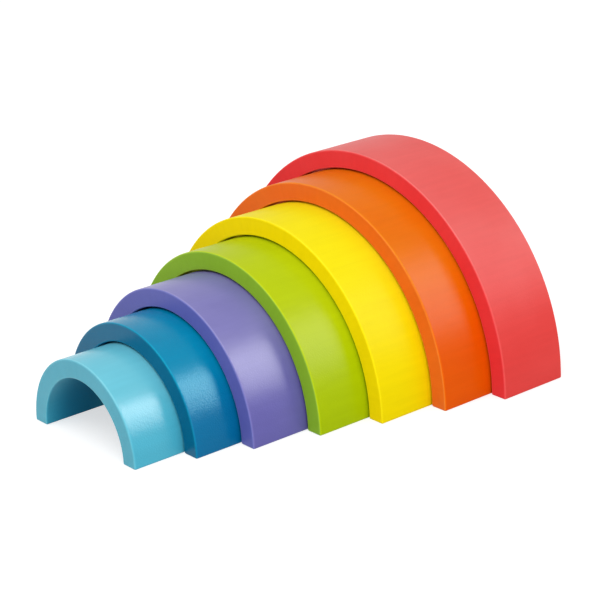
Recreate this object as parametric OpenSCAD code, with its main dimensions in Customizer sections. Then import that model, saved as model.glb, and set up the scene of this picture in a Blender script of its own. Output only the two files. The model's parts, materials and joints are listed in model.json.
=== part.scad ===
// Rainbow stacker: seven loose half rings of painted wood that nest inside each other on one axis.
// They stand pulled out of each other like a telescope, with the smallest arch in front.
// X runs across the arches, -Y is the way they are pulled out, and Z is up.
// The origin is on the floor, under the middle of the stack.

/* [Arches] */
// Inner radius of the smallest arch
inner_r = 39.5; // [25:0.5:60]
// Thickness of the wood in every arch, along its radius
wall = 11.8; // [7:0.1:16]
// Clearance between an arch and the one that nests inside it
gap = 1.2; // [0.6:0.1:4]
// Depth of every arch, from front face to back face
depth = 50; // [30:1:80]
// Radius of the sanded round on every edge
edge_r = 1; // [0.5:0.25:3]

/* [Pulled out] */
// How far the orange arch stands out in front of the red one
orange_pull = 38; // [0:0.5:70]
// How far the yellow arch stands out in front of the orange one
yellow_pull = 39.5; // [0:0.5:70]
// How far the green arch stands out in front of the yellow one
green_pull = 37.5; // [0:0.5:70]
// How far the purple arch stands out in front of the green one
purple_pull = 40; // [0:0.5:70]
// How far the blue arch stands out in front of the purple one
blue_pull = 32; // [0:0.5:70]
// How far the light blue arch stands out in front of the blue one
light_blue_pull = 34.5; // [0:0.5:70]

/* [Hidden] */
$fn = 96;

// The arches from the largest to the smallest: an arch's place in this list is its number below
NODES = [
    "red_arch", "orange_arch", "yellow_arch", "green_arch", "purple_arch", "blue_arch", "light_blue_arch"
];

last = len(NODES) - 1;
pitch = wall + gap;
pulls = [0, orange_pull, yellow_pull, green_pull, purple_pull, blue_pull, light_blue_pull];

// How far an arch stands out in front of the red one
function pulled(number) = number == 0 ? 0 : pulled(number - 1) + pulls[number];

stack_length = pulled(last) + depth;

// Inner radius of an arch, counted outwards from the smallest
function arch_inner(number) = inner_r + (last - number) * pitch;

// Where an arch's back face lies along Y
function arch_back(number) = stack_length / 2 - pulled(number);

// Cross-section of the wood: radius along X, depth along Y, with its corners rounded
module wood_section() {
    translate([edge_r, 0])
        square([wall - 2 * edge_r, depth]);
    translate([0, edge_r])
        square([wall, depth - 2 * edge_r]);
    for (x = [edge_r, wall - edge_r], y = [edge_r, depth - edge_r])
        translate([x, y])
            circle(r = edge_r);
}

// Quarter of a rounded bar of the edge radius, along Z, between +X and +Y
module quarter_bar(length) {
    rotate_extrude(angle = 90)
        square([edge_r, length]);
}

// Eighth of a ball of the edge radius, in the positive corner
module ball_corner() {
    rotate_extrude(angle = 90)
        intersection() {
            circle(r = edge_r);
            square(2 * edge_r);
        }
}

// Underside of one foot: a flat sole on z = 0 whose four edges and corners are rounded
module foot() {
    sole_w = wall - 2 * edge_r;
    sole_d = depth - 2 * edge_r;
    translate([0, 0, edge_r])
        mirror([0, 0, 1]) {
            translate([-sole_w / 2, -sole_d / 2, 0])
                cube([sole_w, sole_d, edge_r]);
            for (flip = [0, 1])
                mirror([flip, 0, 0])
                    translate([sole_w / 2, sole_d / 2, 0])
                        rotate([90, 0, 0])
                            quarter_bar(sole_d);
            for (flip = [0, 1])
                mirror([0, flip, 0])
                    translate([-sole_w / 2, sole_d / 2, 0])
                        rotate([90, 0, 90])
                            quarter_bar(sole_w);
            for (flip_x = [0, 1], flip_y = [0, 1])
                mirror([flip_x, 0, 0])
                    mirror([0, flip_y, 0])
                        translate([sole_w / 2, sole_d / 2, 0])
                            ball_corner();
        }
}

// One arch: a half ring of the wood section on two rounded feet
module arch(number) {
    translate([0, arch_back(number), edge_r])
        rotate([90, 0, 0])
            rotate_extrude(angle = 180)
                translate([arch_inner(number), 0])
                    wood_section();
    for (side = [-1, 1])
        translate([side * (arch_inner(number) + wall / 2), arch_back(number) - depth / 2, 0])
            foot();
}

module red_arch() {
    color("#e8383d")
        arch(0);
}

module orange_arch() {
    color("#ea6a1c")
        arch(1);
}

module yellow_arch() {
    color("#f8d80a")
        arch(2);
}

module green_arch() {
    color("#98bc2a")
        arch(3);
}

module purple_arch() {
    color("#6d69b4")
        arch(4);
}

module blue_arch() {
    color("#0a7ba6")
        arch(5);
}

module light_blue_arch() {
    color("#6cc2d6")
        arch(6);
}

red_arch();
orange_arch();
yellow_arch();
green_arch();
purple_arch();
blue_arch();
light_blue_arch();
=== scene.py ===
"""Looks of a wooden rainbow stacker: seven painted arches on a plain white studio floor."""
import json
import math

import bpy
from bpy.props import FloatProperty, FloatVectorProperty, IntProperty, PointerProperty
from mathutils import Matrix, Vector


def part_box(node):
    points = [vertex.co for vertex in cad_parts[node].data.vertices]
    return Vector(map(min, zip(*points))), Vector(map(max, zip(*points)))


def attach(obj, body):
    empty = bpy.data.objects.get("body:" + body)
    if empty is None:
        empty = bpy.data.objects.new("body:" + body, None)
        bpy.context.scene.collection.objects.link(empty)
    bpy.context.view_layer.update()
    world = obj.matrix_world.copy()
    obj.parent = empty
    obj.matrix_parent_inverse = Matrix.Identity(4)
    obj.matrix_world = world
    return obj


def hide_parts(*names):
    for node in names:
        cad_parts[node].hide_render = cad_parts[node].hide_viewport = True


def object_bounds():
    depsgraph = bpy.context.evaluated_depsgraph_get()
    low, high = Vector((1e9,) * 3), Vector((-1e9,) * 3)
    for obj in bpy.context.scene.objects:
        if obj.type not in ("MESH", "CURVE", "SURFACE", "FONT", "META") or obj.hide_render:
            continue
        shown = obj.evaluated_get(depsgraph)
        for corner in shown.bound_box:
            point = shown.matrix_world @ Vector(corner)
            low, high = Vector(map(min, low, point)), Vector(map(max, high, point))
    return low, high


bl_info = {
    "name": "Rainbow stacker",
    "version": (1, 0, 0),
    "blender": (4, 5, 0),
    "location": "3D View > Sidebar > Rainbow",
    "description": "Builds the painted arches of a wooden rainbow stacker and a studio stage",
    "category": "Object",
}

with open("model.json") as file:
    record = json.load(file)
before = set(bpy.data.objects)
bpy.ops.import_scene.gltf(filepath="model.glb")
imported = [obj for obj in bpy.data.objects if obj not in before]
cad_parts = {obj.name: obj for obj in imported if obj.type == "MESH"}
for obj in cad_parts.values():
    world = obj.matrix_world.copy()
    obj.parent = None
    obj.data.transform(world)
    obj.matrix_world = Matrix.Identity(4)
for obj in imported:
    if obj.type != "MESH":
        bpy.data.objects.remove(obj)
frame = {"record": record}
CAD_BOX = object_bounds()
MM = 0.001

# The arches from the largest to the smallest. Each name is a body, and its node and paint are
# named after it.
ARCHES = ("red", "orange", "yellow", "green", "purple", "blue", "light_blue")

# The wood: where the bar's soles begin, in bar lengths from its middle and in height
SOLE_AT = 0.4999
SOLE_HEIGHT = 0.1 * MM
# The wood: how much longer a wave is across the arch than along it
WAVE_STRETCH = (1, 4, 1)
# The wood: length of an edge's worn stretches, and the angle in radians of a sharp edge
WORN_LENGTH = 22 * MM
SHARP_ANGLE = 1.0

# The paint: size of its clouds, marks and pimples. Marks stretch along arc, depth and radius.
CLOUD_SIZE = 35 * MM
MARK_SIZE = 3 * MM
MARK_STRETCH = (1, 12, 4)
PIMPLE_SIZE = 0.9 * MM
# The paint: how far clouds change its cover, marks its brightness, and both its roughness
CLOUD_COVER = (0.9, 1.1)
MARK_BRIGHTNESS = (0.95, 1.05)
ROUGHNESS_CHANGE = (-0.01, 0.01)
# The paint: width of the rubbed band along an edge, and how much brighter that band is, from wear
# and as a painted highlight
EDGE_BAND = 1.5 * MM
EDGE_BRIGHTNESS = 0.06
# The paint: each pair is where a change begins and where it is complete, for the masks that also
# place painted light and shade
SAWN_NORMAL = (0.5, 0.9)  # part of the normal along the depth
FOOT_HEIGHT = (0.8, 0.3)  # height in outer radii
INNER_FACE = (0.8, 0.95)  # distance from the outer face in walls
INNER_REACH = (-10 * MM, 22 * MM)  # distance from the nearer sawn side

# The stage: half the floor's width, the camera's sensor in millimetres, and the place, width and
# height of each lamp
FLOOR_HALF = 6.0
SENSOR_WIDTH = 36
LAMPS = {
    "softbox": ((1.4, 1.56, 1.26), 1.29, 1.42),
    "main_panel": ((1.5, -0.75, 0.55), 0.9, 0.7),
    "side_panel": ((1.7, 0.1, 0.5), 0.8, 0.8),
    "top_panel": ((0.25, -0.65, 1.5), 1.2, 1.0),
}
WHITE = (1, 1, 1, 1)
PLAIN_GLOSS = (1.0, 1.0, 1.0)


# Values that a user may change


def arch_colour(words, part, colour):
    """A colour property for one part of an arch's look."""
    return FloatVectorProperty(
        name=f"{words} {part}",
        description=f"Colour of the {part} on the {words.lower()} arch",
        subtype="COLOR",
        size=3,
        min=0.0,
        max=1.0,
        default=colour,
    )


def for_each_arch(name, description, values):
    """A property with one value for each arch, from the largest to the smallest."""
    return FloatVectorProperty(
        name=name,
        description=f"{description}, from the red arch to the light blue one",
        size=len(ARCHES),
        min=0.0,
        default=values,
    )


def lamp_level(name, words, level):
    """A brightness property for one lamp."""
    return FloatProperty(
        name=f"{name} level",
        description=f"Brightness of the {words}, where 1 is white paper",
        min=0.0,
        default=level,
    )


class ArchShape(bpy.types.PropertyGroup):
    """Sizes that all arches share and that the solids don't give."""

    edge_round: FloatProperty(
        name="Edge round",
        description="Radius of the sanded round on every edge",
        unit="LENGTH",
        default=1.0 * MM,
    )
    edge_spread: FloatProperty(
        name="Edge spread",
        description="Share by which hand sanding leaves an edge less round in places",
        subtype="FACTOR",
        default=0.3,
    )
    mesh_step: FloatProperty(
        name="Mesh step",
        description="Length of a mesh face along the arc and the depth",
        unit="LENGTH",
        default=2.5 * MM,
    )
    edge_steps: IntProperty(
        name="Edge steps",
        description="Number of mesh faces across a rounded edge",
        default=4,
    )
    wave_height: FloatProperty(
        name="Wave height",
        description="Depth of the shallow waves that sawing and sanding leave in the wood",
        unit="LENGTH",
        default=0.06 * MM,
    )
    wave_length: FloatProperty(
        name="Wave length",
        description="Length of those waves along the arc",
        unit="LENGTH",
        default=14 * MM,
    )


class PaintColours(bpy.types.PropertyGroup):
    """Colours of the paint on the curved faces."""

    red: arch_colour("Red", "paint", (0.747, 0.115, 0.107))
    orange: arch_colour("Orange", "paint", (0.752, 0.161, 0.003))
    yellow: arch_colour("Yellow", "paint", (0.861, 0.729, 0.008))
    green: arch_colour("Green", "paint", (0.444, 0.553, 0.003))
    purple: arch_colour("Purple", "paint", (0.194, 0.18, 0.438))
    blue: arch_colour("Blue", "paint", (0.0, 0.217, 0.393))
    light_blue: arch_colour("Light blue", "paint", (0.127, 0.502, 0.628))


class SideShadeColours(bpy.types.PropertyGroup):
    """Colours of the paint on the sawn sides, set apart from those on the curved faces as painted
    light and shade.
    """

    red: arch_colour("Red", "side paint", (0.826, 0.047, 0.05))
    orange: arch_colour("Orange", "side paint", (0.826, 0.154, 0.015))
    yellow: arch_colour("Yellow", "side paint", (0.98, 0.726, 0.002))
    green: arch_colour("Green", "side paint", (0.268, 0.5, 0.026))
    purple: arch_colour("Purple", "side paint", (0.126, 0.132, 0.463))
    blue: arch_colour("Blue", "side paint", (0.0, 0.136, 0.265))
    light_blue: arch_colour("Light blue", "side paint", (0.083, 0.436, 0.568))


class GlossColours(bpy.types.PropertyGroup):
    """Colours of the reflections in the paint."""

    red: arch_colour("Red", "gloss", PLAIN_GLOSS)
    orange: arch_colour("Orange", "gloss", PLAIN_GLOSS)
    yellow: arch_colour("Yellow", "gloss", PLAIN_GLOSS)
    green: arch_colour("Green", "gloss", PLAIN_GLOSS)
    purple: arch_colour("Purple", "gloss", PLAIN_GLOSS)
    blue: arch_colour("Blue", "gloss", (0.45, 0.95, 1.0))
    light_blue: arch_colour("Light blue", "gloss", PLAIN_GLOSS)


class PaintFinishAndShade(bpy.types.PropertyGroup):
    """Finish of the paint film, and the painted light and shade on it."""

    roughness: for_each_arch(
        "Roughness",
        "Mean roughness of each satin paint",
        (0.36, 0.31, 0.36, 0.34, 0.3, 0.25, 0.25),
    )
    gloss: for_each_arch(
        "Gloss",
        "Strength of the reflections in each paint",
        (0.035, 0.045, 0.015, 0.055, 0.18, 0.2, 0.225),
    )
    # Painted light: the paint is brighter towards the feet, standing in for more light low down
    painted_foot_light: for_each_arch(
        "Foot lift",
        "Brightness of each deeper paint towards the feet",
        (1.15, 1.15, 1.095, 1.17, 1.23, 1.2, 1.12),
    )
    # Painted shade: the colour is deeper towards the feet, standing in for the paler sheen that the
    # crown catches from the light above
    painted_foot_shade: FloatProperty(
        name="Foot depth",
        description="How much deeper the colour is towards the feet than on the crown, as painted shade",
        subtype="FACTOR",
        default=0.35,
    )
    # Painted shade: each colour is deeper inside the arch, more so further in from the sawn sides
    painted_inner_shade: for_each_arch(
        "Inner depth",
        "How much deeper each colour is inside the arch than on its outside, as painted shade",
        (0.4, 0.4, 0.3, 0.4, 0.5, 0.8, 1.2),
    )
    inner_roughness: FloatProperty(
        name="Inner roughness",
        description="How much rougher the paint is inside an arch, where nobody polishes it",
        subtype="FACTOR",
        default=0.4,
    )
    # Wear and painted highlight: the edges are lighter, as rubbed paint and as a painted highlight
    edge_wear_and_highlight: FloatProperty(
        name="Edge wear",
        description="Share of the paint that is rubbed off along the edges",
        subtype="FACTOR",
        default=0.25,
    )
    mark_height: FloatProperty(
        name="Mark height",
        description="Height of the saw and sanding marks that show through the paint",
        unit="LENGTH",
        default=0.01 * MM,
    )
    pimple_height: FloatProperty(
        name="Pimple height",
        description="Height of the fine pimples of sprayed paint",
        unit="LENGTH",
        default=0.08 * MM,
    )


class StudioStage(bpy.types.PropertyGroup):
    """Camera, lamps and floor."""

    azimuth: FloatProperty(
        name="Azimuth",
        description="Where the camera stands round the object, from the front towards the right",
        subtype="ANGLE",
        default=math.radians(50.571),
    )
    elevation: FloatProperty(
        name="Elevation",
        description="How steeply the camera looks down",
        subtype="ANGLE",
        default=math.radians(20.369),
    )
    roll: FloatProperty(
        name="Roll",
        description="Turn of the camera about its line of sight",
        subtype="ANGLE",
        default=math.radians(-2.269),
    )
    camera_place: FloatVectorProperty(
        name="Camera place",
        description="Where the camera stands",
        subtype="TRANSLATION",
        unit="LENGTH",
        default=(0.9368, -0.73675, 0.4958),
    )
    lens: FloatProperty(
        name="Lens",
        description="Focal length of the camera",
        unit="CAMERA",
        default=122.85,
    )
    room_light: FloatProperty(
        name="Room light",
        description="Light that the room throws on the object, where 1 is a room of white paper",
        subtype="FACTOR",
        default=0.72,
    )
    softbox_level: lamp_level("Softbox", "softbox behind, seen only in reflections", 18.0)
    main_level: lamp_level("Main", "low panel at the right of the camera", 2.45)
    side_level: lamp_level("Side", "low panel straight at the right", 1.5)
    top_level: lamp_level("Top", "panel overhead", 2.4)
    floor_white: FloatProperty(
        name="Floor white",
        description="Share of the floor's white that needs no light, so that shadows stay faint",
        subtype="FACTOR",
        default=0.6,
    )
    floor_colour: FloatProperty(
        name="Floor colour",
        description="Grey level of the floor that the lamps light",
        subtype="FACTOR",
        default=0.57,
    )


# Helpers that build node trees


def add_node(tree, kind, inputs=None, **settings):
    """Adds a node, sets its properties, and links or fills its inputs."""
    made = tree.nodes.new(kind)
    for name, value in settings.items():
        setattr(made, name, value)
    for key, value in (inputs or {}).items():
        if isinstance(value, bpy.types.NodeSocket):
            tree.links.new(value, made.inputs[key])
        else:
            made.inputs[key].default_value = value
    return made


def calc(tree, operation, *values):
    """The result of a Math node."""
    return add_node(tree, "ShaderNodeMath", dict(enumerate(values)), operation=operation).outputs[0]


def split(tree, vector):
    """The X, Y and Z parts of a vector."""
    return add_node(tree, "ShaderNodeSeparateXYZ", {0: vector}).outputs


def spread(tree, value, low, high):
    """Turns a value between 0 and 1 into one between low and high."""
    made = add_node(tree, "ShaderNodeMapRange", {"Value": value, "To Min": low, "To Max": high})
    return made.outputs["Result"]


def fade(tree, value, start, stop):
    """A smooth step from 0 at start to 1 at stop."""
    made = add_node(
        tree,
        "ShaderNodeMapRange",
        {"Value": value, "From Min": start, "From Max": stop},
        interpolation_type="SMOOTHSTEP",
    )
    return made.outputs["Result"]


def noise(tree, vector, size, detail, stretch=(1, 1, 1), seed=0.0):
    """Noise between 0 and 1 whose blotches are about size long, longer along the stretched axes."""
    scaled = add_node(
        tree,
        "ShaderNodeVectorMath",
        {0: vector, 1: [1 / (size * along) for along in stretch]},
        operation="MULTIPLY",
    )
    made = add_node(
        tree,
        "ShaderNodeTexNoise",
        {"Vector": scaled.outputs[0], "W": seed, "Scale": 1.0, "Detail": detail},
        noise_dimensions="4D",
    )
    return made.outputs[0]


def scaled_vector(tree, vector, factor):
    """A vector times a number."""
    made = add_node(tree, "ShaderNodeVectorMath", {0: vector, "Scale": factor}, operation="SCALE")
    return made.outputs[0]


# The wood


def arch_tree():
    """Geometry Nodes that bend a bar into an arch on two feet, uneven like hand-sanded wood."""
    tree = bpy.data.node_groups.new("wooden_arch", "GeometryNodeTree")
    tree.interface.new_socket("Arch", in_out="OUTPUT", socket_type="NodeSocketGeometry")
    sizes = ("Inner Radius", "Wall", "Front", "Depth", "Foot")
    unevenness = ("Wave Height", "Wave Length", "Edge Spread", "Seed")
    steps = ("Arc Steps", "Depth Steps", "Wall Steps")
    for name in sizes + unevenness:
        tree.interface.new_socket(name, in_out="INPUT", socket_type="NodeSocketFloat")
    for name in steps:
        tree.interface.new_socket(name, in_out="INPUT", socket_type="NodeSocketInt")
    tree.interface.new_socket("Paint", in_out="INPUT", socket_type="NodeSocketMaterial")
    given = add_node(tree, "NodeGroupInput").outputs

    counts = {
        f"Vertices {axis}": calc(tree, "ADD", given[name], 1.0) for axis, name in zip("XYZ", steps)
    }
    bar = add_node(tree, "GeometryNodeMeshCube", {"Size": (1, 1, 1), **counts})

    # The bar's length turns about the axis, its width is the depth and its height is the wall
    place = add_node(tree, "GeometryNodeInputPosition").outputs[0]
    along, across, up = split(tree, place)
    turn = calc(tree, "MULTIPLY", along, math.pi)
    from_inner = calc(tree, "ADD", up, 0.5)
    from_front = calc(tree, "ADD", across, 0.5)
    radius = calc(tree, "MULTIPLY_ADD", from_inner, given["Wall"], given["Inner Radius"])
    height = calc(tree, "MULTIPLY_ADD", radius, calc(tree, "COSINE", turn), given["Foot"])
    above_sole = calc(tree, "LESS_THAN", calc(tree, "ABSOLUTE", along), SOLE_AT)
    bent = add_node(
        tree,
        "ShaderNodeCombineXYZ",
        {
            "X": calc(tree, "MULTIPLY", radius, calc(tree, "SINE", turn)),
            "Y": calc(tree, "MULTIPLY_ADD", from_front, given["Depth"], given["Front"]),
            "Z": calc(tree, "MULTIPLY", height, above_sole),
        },
    )
    arch = add_node(
        tree,
        "GeometryNodeSetPosition",
        {"Geometry": bar.outputs["Mesh"], "Position": bent.outputs[0]},
    )

    # Shallow waves go into the wood, never out of it, and leave the soles flat
    wave_place = scaled_vector(tree, place, calc(tree, "DIVIDE", 1.0, given["Wave Length"]))
    ridges = noise(tree, wave_place, 1.0, 1.0, WAVE_STRETCH, given["Seed"])
    dip = calc(tree, "MULTIPLY", calc(tree, "SUBTRACT", ridges, 1.0), given["Wave Height"])
    off_sole = calc(tree, "GREATER_THAN", split(tree, place)["Z"], SOLE_HEIGHT)
    outwards = add_node(tree, "GeometryNodeInputNormal").outputs[0]
    push = scaled_vector(tree, outwards, calc(tree, "MULTIPLY", dip, off_sole))
    waved = add_node(tree, "GeometryNodeSetPosition", {"Geometry": arch.outputs[0], "Offset": push})

    # The bevel rounds the sharp edges by these weights
    corner = add_node(tree, "GeometryNodeInputMeshEdgeAngle").outputs["Unsigned Angle"]
    sharp = calc(tree, "GREATER_THAN", corner, SHARP_ANGLE)
    worn = noise(tree, place, WORN_LENGTH, 1.0, seed=given["Seed"])
    weight = calc(tree, "SUBTRACT", 1.0, calc(tree, "MULTIPLY", worn, given["Edge Spread"]))
    weights = add_node(
        tree,
        "GeometryNodeStoreNamedAttribute",
        {
            "Geometry": waved.outputs[0],
            "Name": "bevel_weight_edge",
            "Value": calc(tree, "MULTIPLY", weight, sharp),
        },
        data_type="FLOAT",
        domain="EDGE",
    )
    smooth = add_node(tree, "GeometryNodeSetShadeSmooth", {"Geometry": weights.outputs[0]})
    whole = add_node(tree, "GeometryNodeRealizeInstances", {"Geometry": smooth.outputs[0]})
    painted = add_node(
        tree,
        "GeometryNodeSetMaterial",
        {"Geometry": whole.outputs[0], "Material": given["Paint"]},
    )
    add_node(tree, "NodeGroupOutput", {"Arch": painted.outputs[0]})
    return tree


def set_inputs(modifier, values):
    """Sets the inputs of a Geometry Nodes modifier, named as in its tree."""
    for item in modifier.node_group.interface.items_tree:
        if item.in_out == "INPUT":
            modifier[item.identifier] = values[item.name]


def arch_sizes(name):
    """Outer radius, wall, front, depth and foot height of an arch's solid."""
    low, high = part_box(f"{name}_arch")
    feet = {mount["name"]: mount["pos_m"] for mount in frame["record"]["mounts"]}
    wall = 2 * (high.x - feet[f"{name}_right_foot"][0])
    return high.x, wall, low.y, high.y - low.y, high.z - high.x


def make_arch(tree, name, number, shape, paint):
    """One arch around its solid, as a plain mesh at the origin."""
    outer, wall, front, depth, foot = arch_sizes(name)
    middle = outer - wall / 2
    title = f"painted_{name}_arch"
    arch = bpy.data.objects.new(title, bpy.data.meshes.new(title))
    bpy.context.scene.collection.objects.link(arch)
    bend = arch.modifiers.new("Bend", "NODES")
    bend.node_group = tree
    set_inputs(
        bend,
        {
            "Inner Radius": outer - wall,
            "Wall": wall,
            "Front": front,
            "Depth": depth,
            "Foot": foot,
            "Wave Height": shape.wave_height,
            "Wave Length": shape.wave_length,
            "Edge Spread": shape.edge_spread,
            "Seed": float(number),
            "Arc Steps": round(math.pi * middle / shape.mesh_step),
            "Depth Steps": round(depth / shape.mesh_step),
            "Wall Steps": round(wall / shape.mesh_step),
            "Paint": paint,
        },
    )
    rounding = arch.modifiers.new("Edges", "BEVEL")
    rounding.limit_method = "WEIGHT"
    rounding.width = shape.edge_round
    rounding.segments = shape.edge_steps
    shading = arch.modifiers.new("Shading", "WEIGHTED_NORMAL")
    # The most weight that large faces can have, so that they stay flat beside a round
    shading.weight = 100

    graph = bpy.context.evaluated_depsgraph_get()
    mesh = bpy.data.meshes.new_from_object(
        arch.evaluated_get(graph), preserve_all_data_layers=True, depsgraph=graph
    )
    mesh.name = arch.name
    arch.modifiers.clear()
    arch.data = mesh
    if not mesh.polygons:
        raise RuntimeError(f"{arch.name} came out empty")
    return arch


# The paint


def paint_material(name, number, colours, sides, glosses, finish):
    """Satin paint with painted light and shade: other colours on the sawn sides, deeper and
    brighter low down, deeper inside, and lighter on the edges from wear and as a painted highlight.
    """
    outer, wall, front, depth, foot = arch_sizes(name)
    seed = float(number)
    paint = bpy.data.materials.new(f"{name}_paint")
    paint.use_nodes = True
    tree = paint.node_tree
    tree.nodes.clear()

    # Place on the arch: along the arc, along the depth and out from the axis
    coords = add_node(tree, "ShaderNodeTexCoord").outputs
    place = coords["Object"]
    x, y, z = split(tree, place)
    above = calc(tree, "SUBTRACT", z, foot)
    squares = calc(tree, "ADD", calc(tree, "POWER", x, 2.0), calc(tree, "POWER", above, 2.0))
    radius = calc(tree, "SQRT", squares)
    arc = calc(tree, "MULTIPLY", calc(tree, "ARCTAN2", above, x), outer)
    unrolled = add_node(tree, "ShaderNodeCombineXYZ", {"X": arc, "Y": y, "Z": radius}).outputs[0]

    clouds = noise(tree, place, CLOUD_SIZE, 3.0, seed=seed)
    marks = noise(tree, unrolled, MARK_SIZE, 2.0, MARK_STRETCH, seed)
    pimples = noise(tree, place, PIMPLE_SIZE, 1.0, seed=seed)

    # 1 on the flat sawn sides and 0 on the curved faces
    facing = calc(tree, "ABSOLUTE", split(tree, coords["Normal"])["Y"])
    sawn = fade(tree, facing, *SAWN_NORMAL)
    curved = calc(tree, "SUBTRACT", 1.0, sawn)

    # 1 on the rounded edges and 0 a little way inside a face
    from_outer = calc(tree, "SUBTRACT", outer, radius)
    from_inner = calc(tree, "SUBTRACT", radius, outer - wall)
    from_front = calc(tree, "SUBTRACT", y, front)
    from_back = calc(tree, "SUBTRACT", front + depth, y)
    from_curve = calc(tree, "MINIMUM", from_outer, from_inner)
    from_side = calc(tree, "MINIMUM", from_front, from_back)
    near_curve = fade(tree, from_curve, EDGE_BAND, 0.0)
    near_side = fade(tree, from_side, EDGE_BAND, 0.0)
    edge = calc(tree, "MULTIPLY", near_curve, near_side)

    # 1 low on the curved faces, where painted shade and painted light go, and 1 deep inside the
    # arch, where painted shade goes
    low = fade(tree, z, *(share * outer for share in FOOT_HEIGHT))
    low = calc(tree, "MULTIPLY", low, curved)
    inside = fade(tree, radius, *(outer - share * wall for share in INNER_FACE))
    inside = calc(tree, "MULTIPLY", inside, curved)
    inside = calc(tree, "MULTIPLY", inside, fade(tree, from_side, *INNER_REACH))

    # Deeper colour where the paint's clouds lie thicker, and deeper as painted shade low down and
    # inside; the edges are lighter from wear and as a painted highlight
    cover = spread(tree, clouds, *CLOUD_COVER)
    cover = calc(tree, "MULTIPLY_ADD", low, finish.painted_foot_shade, cover)
    cover = calc(tree, "MULTIPLY_ADD", inside, finish.painted_inner_shade[number], cover)
    cover = calc(tree, "MULTIPLY_ADD", edge, -finish.edge_wear_and_highlight, cover)
    # The sawn sides take their own colours, as painted light and shade
    colour = add_node(
        tree,
        "ShaderNodeMix",
        {"Factor": sawn, "A": (*getattr(colours, name), 1.0), "B": (*getattr(sides, name), 1.0)},
        data_type="RGBA",
    )
    film = add_node(tree, "ShaderNodeGamma", {"Color": colour.outputs["Result"], "Gamma": cover})
    # Marks vary the brightness at random; the edges are brighter from wear and as a painted
    # highlight, and the feet as painted light
    bright = spread(tree, marks, *MARK_BRIGHTNESS)
    bright = calc(tree, "MULTIPLY_ADD", edge, EDGE_BRIGHTNESS, bright)
    bright = calc(tree, "MULTIPLY", bright, spread(tree, low, 1.0, finish.painted_foot_light[number]))
    tint = add_node(tree, "ShaderNodeHueSaturation", {"Color": film.outputs[0], "Value": bright})

    changes = [spread(tree, pattern, *ROUGHNESS_CHANGE) for pattern in (clouds, marks)]
    rough = calc(tree, "ADD", *changes)
    rough = calc(tree, "MULTIPLY_ADD", inside, finish.inner_roughness, rough)
    rough = calc(tree, "ADD", rough, finish.roughness[number])

    # The bump's height is counted in marks
    grooves = calc(tree, "MULTIPLY", marks, curved)
    pimple_share = finish.pimple_height / finish.mark_height
    heights = calc(tree, "MULTIPLY_ADD", pimples, pimple_share, grooves)
    bump = add_node(
        tree,
        "ShaderNodeBump",
        {"Height": heights, "Strength": 1.0, "Distance": finish.mark_height},
    )
    shader = add_node(
        tree,
        "ShaderNodeBsdfPrincipled",
        {
            "Base Color": tint.outputs[0],
            "Roughness": rough,
            "Normal": bump.outputs[0],
            "Specular IOR Level": finish.gloss[number],
            "Specular Tint": (*getattr(glosses, name), 1.0),
        },
    )
    add_node(tree, "ShaderNodeOutputMaterial", {"Surface": shader.outputs[0]})
    return paint


class RAINBOW_OT_arches(bpy.types.Operator):
    """Builds the seven painted arches around their solids"""

    bl_idname = "rainbow.arches"
    bl_label = "Build the arches"

    def execute(self, context):
        shape = context.scene.rainbow_shape
        colours = context.scene.rainbow_colours
        sides = context.scene.rainbow_sides
        glosses = context.scene.rainbow_glosses
        finish = context.scene.rainbow_finish
        tree = arch_tree()
        for number, name in enumerate(ARCHES):
            paint = paint_material(name, number, colours, sides, glosses, finish)
            arch = make_arch(tree, name, number, shape, paint)
            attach(arch, name)
            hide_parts(f"{name}_arch")
        return {"FINISHED"}


# The stage


def seen_rays(tree):
    """1 for rays that show the background: from the camera, in reflections and through glass."""
    rays = add_node(tree, "ShaderNodeLightPath").outputs
    sight = calc(tree, "MAXIMUM", rays["Is Camera Ray"], rays["Is Glossy Ray"])
    return calc(tree, "MAXIMUM", sight, rays["Is Transmission Ray"])


def make_world(stage):
    """A plain room: white where it is seen, and dimmer as light on the object."""
    world = bpy.data.worlds.new("studio")
    bpy.context.scene.world = world
    world.use_nodes = True
    tree = world.node_tree
    tree.nodes.clear()
    level = spread(tree, seen_rays(tree), stage.room_light, 1.0)
    white = add_node(tree, "ShaderNodeBackground", {"Color": WHITE, "Strength": level})
    add_node(tree, "ShaderNodeOutputWorld", {"Surface": white.outputs[0]})


def make_floor(stage):
    """A wide white floor that keeps a faint shadow of the object."""
    mesh = bpy.data.meshes.new("floor")
    corners = [(x * FLOOR_HALF, y * FLOOR_HALF, 0) for x, y in ((-1, -1), (1, -1), (1, 1), (-1, 1))]
    mesh.from_pydata(corners, [], [(0, 1, 2, 3)])
    floor = bpy.data.objects.new("floor", mesh)
    bpy.context.scene.collection.objects.link(floor)
    paper = bpy.data.materials.new("white_paper")
    paper.use_nodes = True
    tree = paper.node_tree
    tree.nodes.clear()
    grey = stage.floor_colour
    lit = add_node(tree, "ShaderNodeBsdfDiffuse", {"Color": (grey, grey, grey, 1)})
    level = calc(tree, "MULTIPLY", seen_rays(tree), stage.floor_white)
    glow = add_node(tree, "ShaderNodeEmission", {"Color": WHITE, "Strength": level})
    both = add_node(tree, "ShaderNodeAddShader", {0: lit.outputs[0], 1: glow.outputs[0]})
    add_node(tree, "ShaderNodeOutputMaterial", {"Surface": both.outputs[0]})
    mesh.materials.append(paper)


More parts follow.
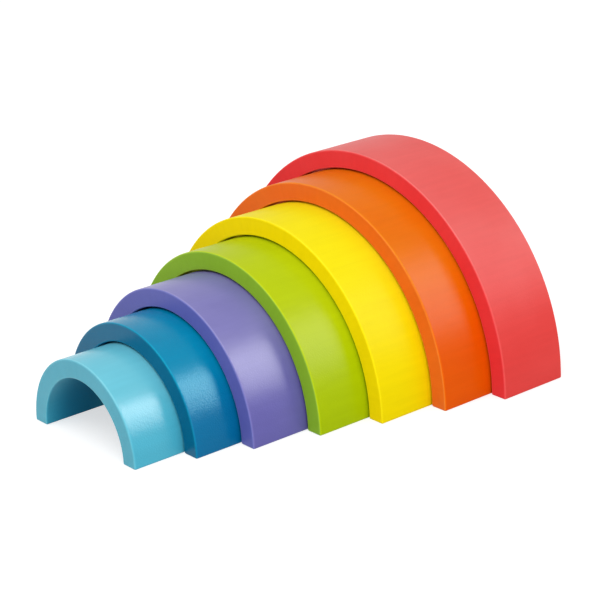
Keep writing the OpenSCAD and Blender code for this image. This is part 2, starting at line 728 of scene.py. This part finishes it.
def make_lamp(name, level, aim):
    """A flat lamp of even brightness that faces a point."""
    spot, width, height = LAMPS[name]
    place = Vector(spot)
    data = bpy.data.lights.new(name, "AREA")
    data.shape = "RECTANGLE"
    data.size = width
    data.size_y = height
    data.energy = level * math.pi * width * height
    lamp = bpy.data.objects.new(name, data)
    bpy.context.scene.collection.objects.link(lamp)
    lamp.visible_camera = False
    turned = (aim - place).to_track_quat("-Z", "Y").to_matrix().to_4x4()
    lamp.matrix_world = Matrix.Translation(place) @ turned
    return lamp


def make_camera(stage):
    """The camera at the photographed angle."""
    back = Vector((
        math.sin(stage.azimuth) * math.cos(stage.elevation),
        -math.cos(stage.azimuth) * math.cos(stage.elevation),
        math.sin(stage.elevation),
    ))
    level = Vector((math.cos(stage.azimuth), math.sin(stage.azimuth), 0))
    upright = back.cross(level)
    right = level * math.cos(stage.roll) + upright * math.sin(stage.roll)
    up = back.cross(right)
    data = bpy.data.cameras.new("camera")
    data.sensor_width = SENSOR_WIDTH
    data.lens = stage.lens
    camera = bpy.data.objects.new("camera", data)
    bpy.context.scene.collection.objects.link(camera)
    turned = Matrix((right, up, back)).transposed().to_4x4()
    camera.matrix_world = Matrix.Translation(stage.camera_place) @ turned
    bpy.context.scene.camera = camera


class RAINBOW_OT_stage(bpy.types.Operator):
    """Sets up the camera, the lamps and the white floor"""

    bl_idname = "rainbow.stage"
    bl_label = "Set up the stage"

    def execute(self, context):
        stage = context.scene.rainbow_stage
        middle = (CAD_BOX[0] + CAD_BOX[1]) / 2
        context.scene.view_settings.view_transform = "Standard"
        make_camera(stage)
        make_world(stage)
        make_floor(stage)
        softbox = make_lamp("softbox", stage.softbox_level, middle)
        softbox.visible_diffuse = False
        make_lamp("main_panel", stage.main_level, middle)
        make_lamp("side_panel", stage.side_level, middle)
        make_lamp("top_panel", stage.top_level, middle)
        return {"FINISHED"}


class RAINBOW_PT_sidebar(bpy.types.Panel):
    """Lists the steps that build the rainbow and the values that they use"""

    bl_idname = "RAINBOW_PT_sidebar"
    bl_label = "Rainbow stacker"
    bl_space_type = "VIEW_3D"
    bl_region_type = "UI"
    bl_category = "Rainbow"

    def draw(self, context):
        scene = context.scene
        wood_and_paint = (
            scene.rainbow_shape,
            scene.rainbow_colours,
            scene.rainbow_sides,
            scene.rainbow_glosses,
            scene.rainbow_finish,
        )
        steps = ((RAINBOW_OT_arches, wood_and_paint), (RAINBOW_OT_stage, (scene.rainbow_stage,)))
        for step, groups in steps:
            box = self.layout.box()
            for group in groups:
                for name in group.__annotations__:
                    box.prop(group, name)
            box.operator(step.bl_idname)


GROUPS = {
    "rainbow_shape": ArchShape,
    "rainbow_colours": PaintColours,
    "rainbow_sides": SideShadeColours,
    "rainbow_glosses": GlossColours,
    "rainbow_finish": PaintFinishAndShade,
    "rainbow_stage": StudioStage,
}
CLASSES = (*GROUPS.values(), RAINBOW_OT_arches, RAINBOW_OT_stage, RAINBOW_PT_sidebar)


def register():
    for item in CLASSES:
        bpy.utils.register_class(item)
    for name, group in GROUPS.items():
        setattr(bpy.types.Scene, name, PointerProperty(type=group))


def unregister():
    for name in GROUPS:
        delattr(bpy.types.Scene, name)
    for item in reversed(CLASSES):
        bpy.utils.unregister_class(item)


def main():
    register()
    bpy.ops.rainbow.arches()
    bpy.ops.rainbow.stage()


if __name__ == "__main__":
    main()
